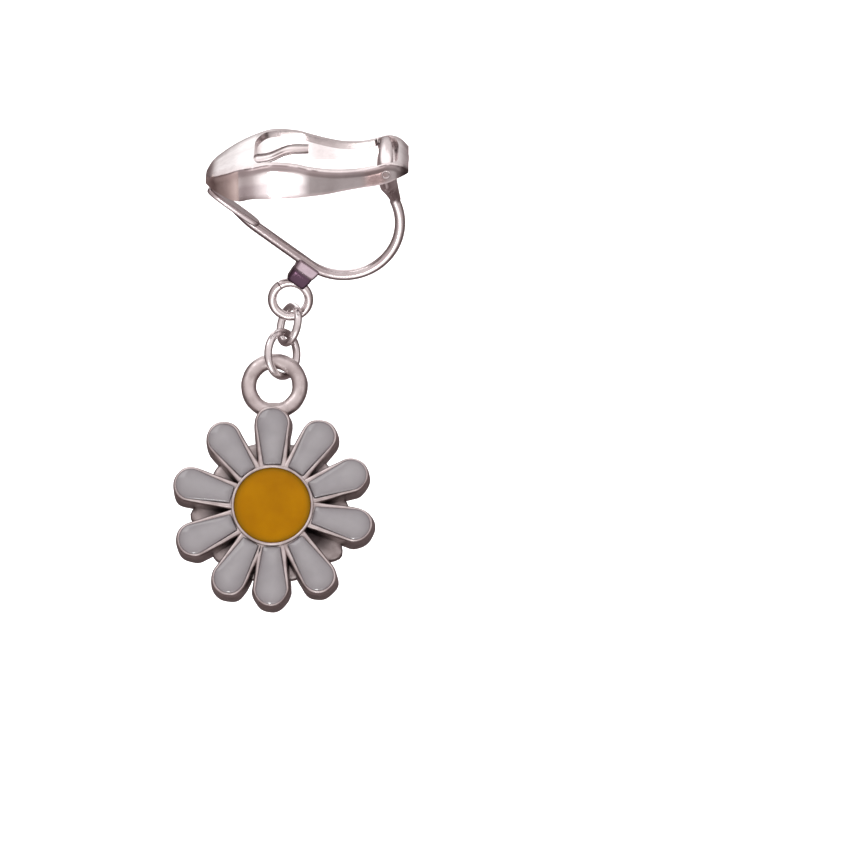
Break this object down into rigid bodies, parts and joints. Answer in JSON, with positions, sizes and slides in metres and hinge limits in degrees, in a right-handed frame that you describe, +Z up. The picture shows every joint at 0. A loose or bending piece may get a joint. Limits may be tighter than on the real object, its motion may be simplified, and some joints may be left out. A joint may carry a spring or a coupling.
{
  "type": "clip on earring",
  "caption": "Paddle-back ear clip with a wire bow and jaw pad; a daisy charm with white enamel petals and an amber centre swings below it on jump rings",
  "frame": {"origin": "middle of the jaw pad's inner face, where the ear lobe is held", "axes": "+X to the right in the picture, +Z up, the front with the enamel faces -Y"},
  "size_m": [0.0179, 0.0136, 0.0367],
  "materials": {
    "plated_metal": "bright silver plate",
    "cast_metal": "antiqued silver casting",
    "white_enamel": "glossy enamel",
    "amber_enamel": "glossy enamel"
  },
  "bodies": {
    "clip": {"clip_bow": "plated_metal", "hinge_pin": "plated_metal"},
    "paddle": {"clip_paddle": "plated_metal"},
    "drop": {"upper_ring": "plated_metal", "lower_ring": "plated_metal", "daisy_charm": "cast_metal", "petal_enamel_01": "white_enamel", "petal_enamel_02": "white_enamel", "petal_enamel_03": "white_enamel", "petal_enamel_04": "white_enamel", "petal_enamel_05": "white_enamel", "petal_enamel_06": "white_enamel", "petal_enamel_07": "white_enamel", "petal_enamel_08": "white_enamel", "petal_enamel_09": "white_enamel", "petal_enamel_10": "white_enamel", "centre_enamel": "amber_enamel"}
  },
  "joints": [
    {"name": "paddle_hinge", "type": "hinge", "parent": "clip", "child": "paddle", "pos_m": [0.01156, -0.00234, 0.00299], "axis": [0, 0.788, 0.6157], "range_deg": [0, 40]},
    {"name": "drop_swing", "type": "hinge", "parent": "clip", "child": "drop", "pos_m": [0.0041, 0.00571, -0.0073], "axis": [1, 0, 0], "range_deg": [-50, 50]}
  ]
}
